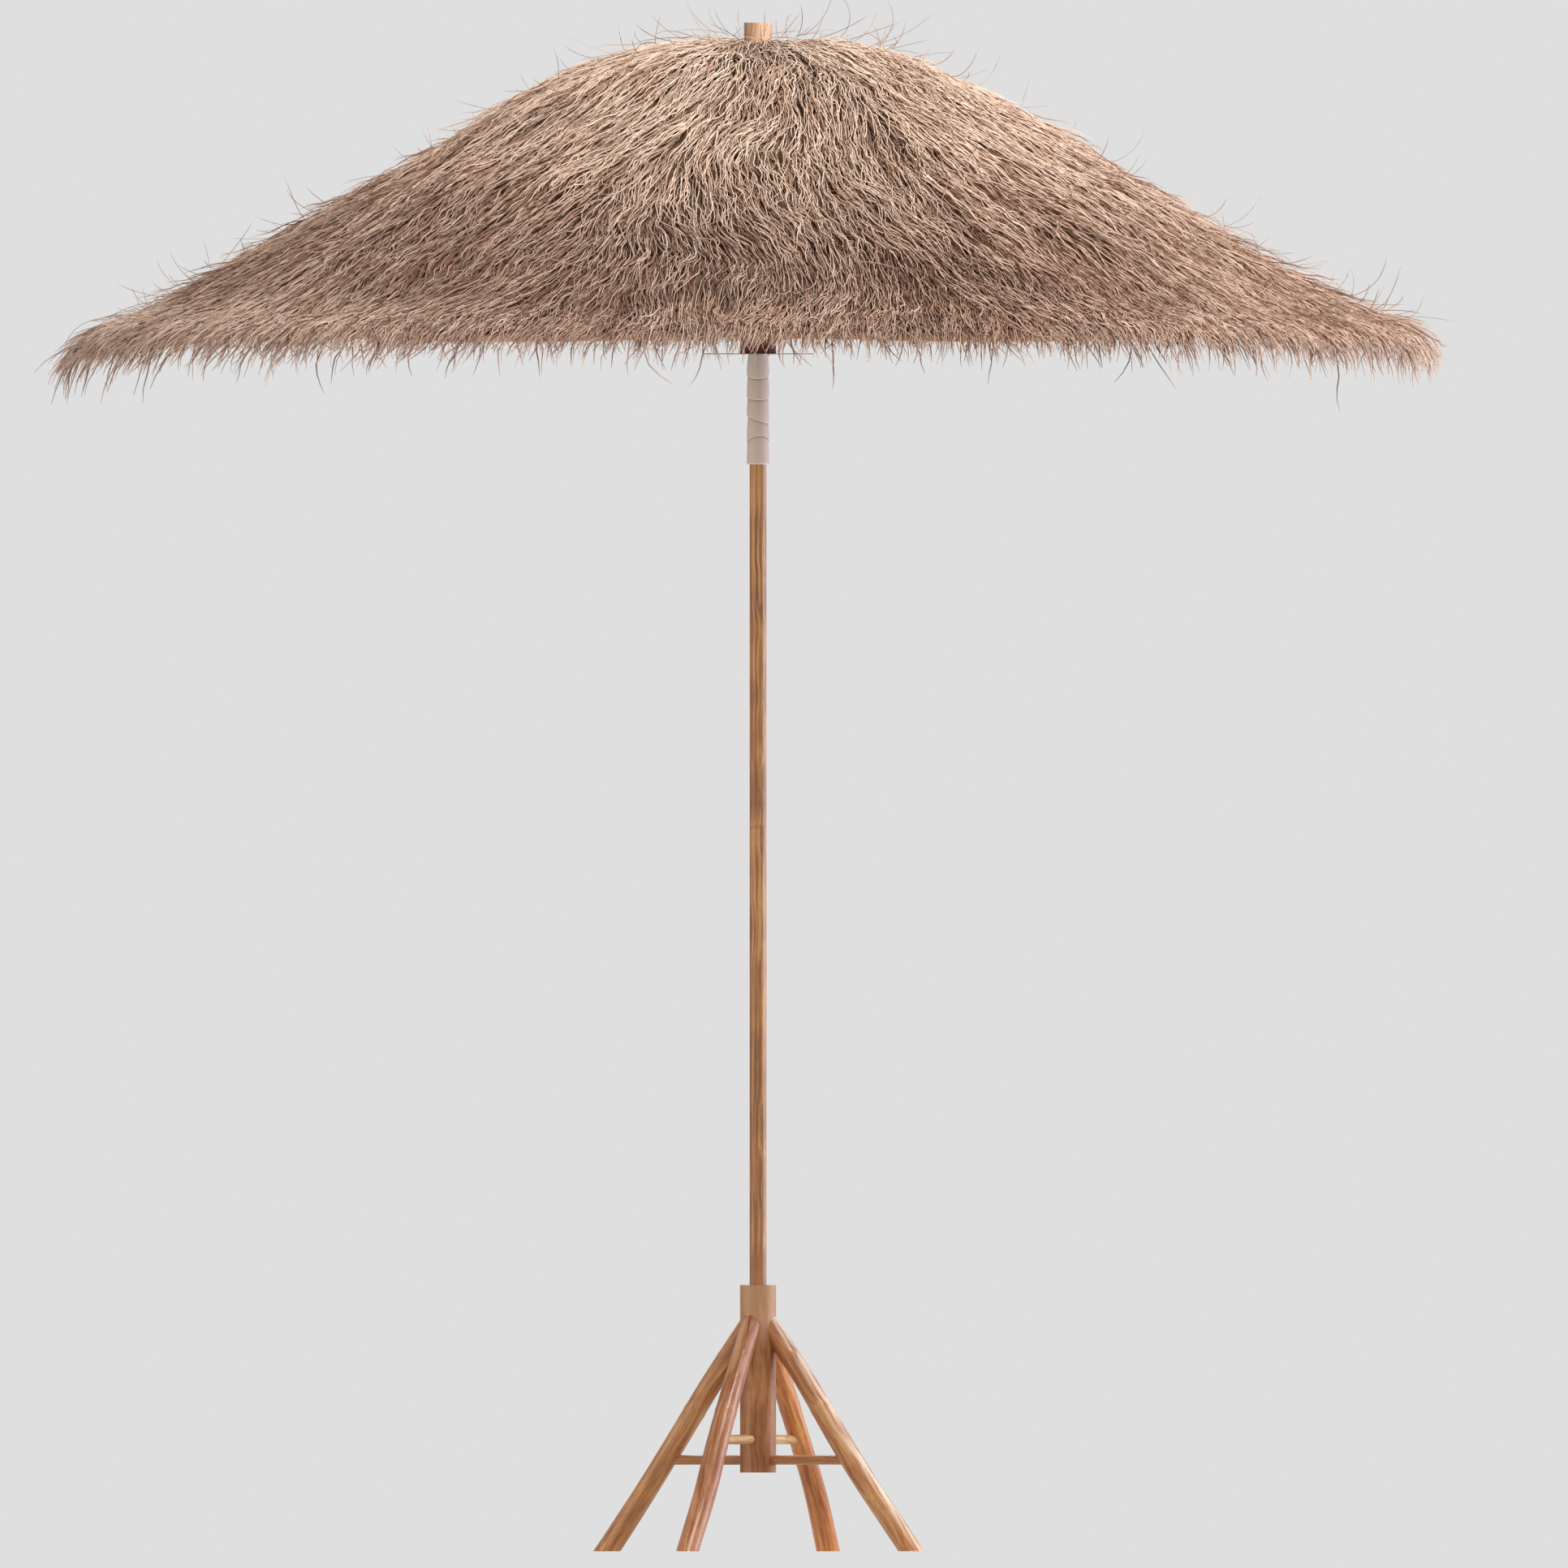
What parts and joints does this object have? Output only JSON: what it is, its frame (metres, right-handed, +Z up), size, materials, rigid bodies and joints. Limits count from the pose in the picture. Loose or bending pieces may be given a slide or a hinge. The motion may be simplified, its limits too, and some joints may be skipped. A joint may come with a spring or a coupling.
{
  "type": "beach umbrella",
  "caption": "Thatched beach umbrella: a folding canopy of ribs, cloth and raffia on a jointed wooden pole, with a sliding runner, held up by a splayed wooden leg stand.",
  "frame": {"origin": "on the ground, on the axis of the pole, at the middle of the footprint", "axes": "+Z up the pole; -Y towards the side that is seen from the front, +X to its right"},
  "size_m": [2.2798, 2.2798, 2.543],
  "materials": {
    "stand_wood": "satin",
    "bar_wood": "satin",
    "pole_wood": "gloss",
    "finial_wood": "gloss",
    "frame_wood": "satin",
    "runner_wood": "gloss",
    "pin_steel": "satin",
    "plate_steel": "satin",
    "sleeve_metal": "satin",
    "lock_brass": "satin",
    "grip_cloth": "matte",
    "canopy_cloth": "matte",
    "thatch": "matte"
  },
  "bodies": {
    "stand": {"stand_post": "stand_wood", "leg_1": "stand_wood", "leg_2": "stand_wood", "leg_3": "stand_wood", "leg_4": "stand_wood", "cross_bar_upper": "bar_wood", "cross_bar_lower": "bar_wood"},
    "lower_pole": {"lower_pole": "pole_wood", "pole_spigot": "pole_wood"},
    "upper_pole": {"upper_pole": "pole_wood", "crown_hub": "frame_wood", "crown_pins": "pin_steel", "finial": "finial_wood"},
    "runner": {"runner_hub": "runner_wood", "runner_plate": "plate_steel", "runner_sleeve": "sleeve_metal", "runner_pins": "pin_steel", "grip_wrap": "grip_cloth"},
    "lock": {"lock_screw": "lock_brass", "lock_knob": "runner_wood"},
    "rib_1": {"rib_1": "frame_wood", "rib_pin_1": "pin_steel", "gore_1": "canopy_cloth", "thatch_1": "thatch"},
    "rib_2": {"rib_2": "frame_wood", "rib_pin_2": "pin_steel", "gore_2": "canopy_cloth", "thatch_2": "thatch"},
    "rib_3": {"rib_3": "frame_wood", "rib_pin_3": "pin_steel", "gore_3": "canopy_cloth", "thatch_3": "thatch"},
    "rib_4": {"rib_4": "frame_wood", "rib_pin_4": "pin_steel", "gore_4": "canopy_cloth", "thatch_4": "thatch"},
    "rib_5": {"rib_5": "frame_wood", "rib_pin_5": "pin_steel", "gore_5": "canopy_cloth", "thatch_5": "thatch"},
    "rib_6": {"rib_6": "frame_wood", "rib_pin_6": "pin_steel", "gore_6": "canopy_cloth", "thatch_6": "thatch"},
    "rib_7": {"rib_7": "frame_wood", "rib_pin_7": "pin_steel", "gore_7": "canopy_cloth", "thatch_7": "thatch"},
    "rib_8": {"rib_8": "frame_wood", "rib_pin_8": "pin_steel", "gore_8": "canopy_cloth", "thatch_8": "thatch"},
    "stretcher_1": {"stretcher_1": "frame_wood"},
    "stretcher_2": {"stretcher_2": "frame_wood"},
    "stretcher_3": {"stretcher_3": "frame_wood"},
    "stretcher_4": {"stretcher_4": "frame_wood"},
    "stretcher_5": {"stretcher_5": "frame_wood"},
    "stretcher_6": {"stretcher_6": "frame_wood"},
    "stretcher_7": {"stretcher_7": "frame_wood"},
    "stretcher_8": {"stretcher_8": "frame_wood"}
  },
  "joints": [
    {"name": "pole_lift", "type": "slide", "parent": "stand", "child": "lower_pole", "axis": [0, 0, 1], "range_m": [0, 0.24]},
    {"name": "pole_turn", "type": "hinge", "parent": "lower_pole", "child": "upper_pole", "pos_m": [0, 0, 1.203], "axis": [0, 0, 1], "continuous": true},
    {"name": "runner_slide", "type": "slide", "parent": "upper_pole", "child": "runner", "axis": [0, 0, -1], "range_m": [0, 0.59]},
    {"name": "lock_turn", "type": "hinge", "parent": "runner", "child": "lock", "pos_m": [0, 0.036, 2.011], "axis": [0, 1, 0], "range_deg": [0, 540]},
    {"name": "rib_hinge_1", "type": "hinge", "parent": "upper_pole", "child": "rib_1", "pos_m": [0.03, 0, 2.468], "axis": [0, 1, 0], "range_deg": [0, 50.52], "deforming": ["gore_1", "thatch_1"]},
    {"name": "rib_hinge_2", "type": "hinge", "parent": "upper_pole", "child": "rib_2", "pos_m": [0.02121, 0.02121, 2.468], "axis": [-0.7071, 0.7071, 0], "range_deg": [0, 50.52], "deforming": ["gore_2", "thatch_2"]},
    {"name": "rib_hinge_3", "type": "hinge", "parent": "upper_pole", "child": "rib_3", "pos_m": [0, 0.03, 2.468], "axis": [-1, 0, 0], "range_deg": [0, 50.52], "deforming": ["gore_3", "thatch_3"]},
    {"name": "rib_hinge_4", "type": "hinge", "parent": "upper_pole", "child": "rib_4", "pos_m": [-0.02121, 0.02121, 2.468], "axis": [-0.7071, -0.7071, 0], "range_deg": [0, 50.52], "deforming": ["gore_4", "thatch_4"]},
    {"name": "rib_hinge_5", "type": "hinge", "parent": "upper_pole", "child": "rib_5", "pos_m": [-0.03, 0, 2.468], "axis": [0, -1, 0], "range_deg": [0, 50.52], "deforming": ["gore_5", "thatch_5"]},
    {"name": "rib_hinge_6", "type": "hinge", "parent": "upper_pole", "child": "rib_6", "pos_m": [-0.02121, -0.02121, 2.468], "axis": [0.7071, -0.7071, 0], "range_deg": [0, 50.52], "deforming": ["gore_6", "thatch_6"]},
    {"name": "rib_hinge_7", "type": "hinge", "parent": "upper_pole", "child": "rib_7", "pos_m": [0, -0.03, 2.468], "axis": [1, 0, 0], "range_deg": [0, 50.52], "deforming": ["gore_7", "thatch_7"]},
    {"name": "rib_hinge_8", "type": "hinge", "parent": "upper_pole", "child": "rib_8", "pos_m": [0.02121, -0.02121, 2.468], "axis": [0.7071, 0.7071, 0], "range_deg": [0, 50.52], "deforming": ["gore_8", "thatch_8"]},
    {"name": "stretcher_hinge_1", "type": "hinge", "parent": "runner", "child": "stretcher_1", "pos_m": [0.03, 0, 2.052], "axis": [0, 1, 0], "range_deg": [-50.52, 0]},
    {"name": "stretcher_hinge_2", "type": "hinge", "parent": "runner", "child": "stretcher_2", "pos_m": [0.02121, 0.02121, 2.052], "axis": [-0.7071, 0.7071, 0], "range_deg": [-50.52, 0]},
    {"name": "stretcher_hinge_3", "type": "hinge", "parent": "runner", "child": "stretcher_3", "pos_m": [0, 0.03, 2.052], "axis": [-1, 0, 0], "range_deg": [-50.52, 0]},
    {"name": "stretcher_hinge_4", "type": "hinge", "parent": "runner", "child": "stretcher_4", "pos_m": [-0.02121, 0.02121, 2.052], "axis": [-0.7071, -0.7071, 0], "range_deg": [-50.52, 0]},
    {"name": "stretcher_hinge_5", "type": "hinge", "parent": "runner", "child": "stretcher_5", "pos_m": [-0.03, 0, 2.052], "axis": [0, -1, 0], "range_deg": [-50.52, 0]},
    {"name": "stretcher_hinge_6", "type": "hinge", "parent": "runner", "child": "stretcher_6", "pos_m": [-0.02121, -0.02121, 2.052], "axis": [0.7071, -0.7071, 0], "range_deg": [-50.52, 0]},
    {"name": "stretcher_hinge_7", "type": "hinge", "parent": "runner", "child": "stretcher_7", "pos_m": [0, -0.03, 2.052], "axis": [1, 0, 0], "range_deg": [-50.52, 0]},
    {"name": "stretcher_hinge_8", "type": "hinge", "parent": "runner", "child": "stretcher_8", "pos_m": [0.02121, -0.02121, 2.052], "axis": [0.7071, 0.7071, 0], "range_deg": [-50.52, 0]}
  ],
  "couplings": [
    {"joint": "rib_hinge_1", "follows": "runner_slide", "rad_per_m": 1.4916},
    {"joint": "rib_hinge_2", "follows": "runner_slide", "rad_per_m": 1.4916},
    {"joint": "rib_hinge_3", "follows": "runner_slide", "rad_per_m": 1.4916},
    {"joint": "rib_hinge_4", "follows": "runner_slide", "rad_per_m": 1.4916},
    {"joint": "rib_hinge_5", "follows": "runner_slide", "rad_per_m": 1.4916},
    {"joint": "rib_hinge_6", "follows": "runner_slide", "rad_per_m": 1.4916},
    {"joint": "rib_hinge_7", "follows": "runner_slide", "rad_per_m": 1.4916},
    {"joint": "rib_hinge_8", "follows": "runner_slide", "rad_per_m": 1.4916},
    {"joint": "stretcher_hinge_1", "follows": "runner_slide", "rad_per_m": -1.4916},
    {"joint": "stretcher_hinge_2", "follows": "runner_slide", "rad_per_m": -1.4916},
    {"joint": "stretcher_hinge_3", "follows": "runner_slide", "rad_per_m": -1.4916},
    {"joint": "stretcher_hinge_4", "follows": "runner_slide", "rad_per_m": -1.4916},
    {"joint": "stretcher_hinge_5", "follows": "runner_slide", "rad_per_m": -1.4916},
    {"joint": "stretcher_hinge_6", "follows": "runner_slide", "rad_per_m": -1.4916},
    {"joint": "stretcher_hinge_7", "follows": "runner_slide", "rad_per_m": -1.4916},
    {"joint": "stretcher_hinge_8", "follows": "runner_slide", "rad_per_m": -1.4916}
  ]
}
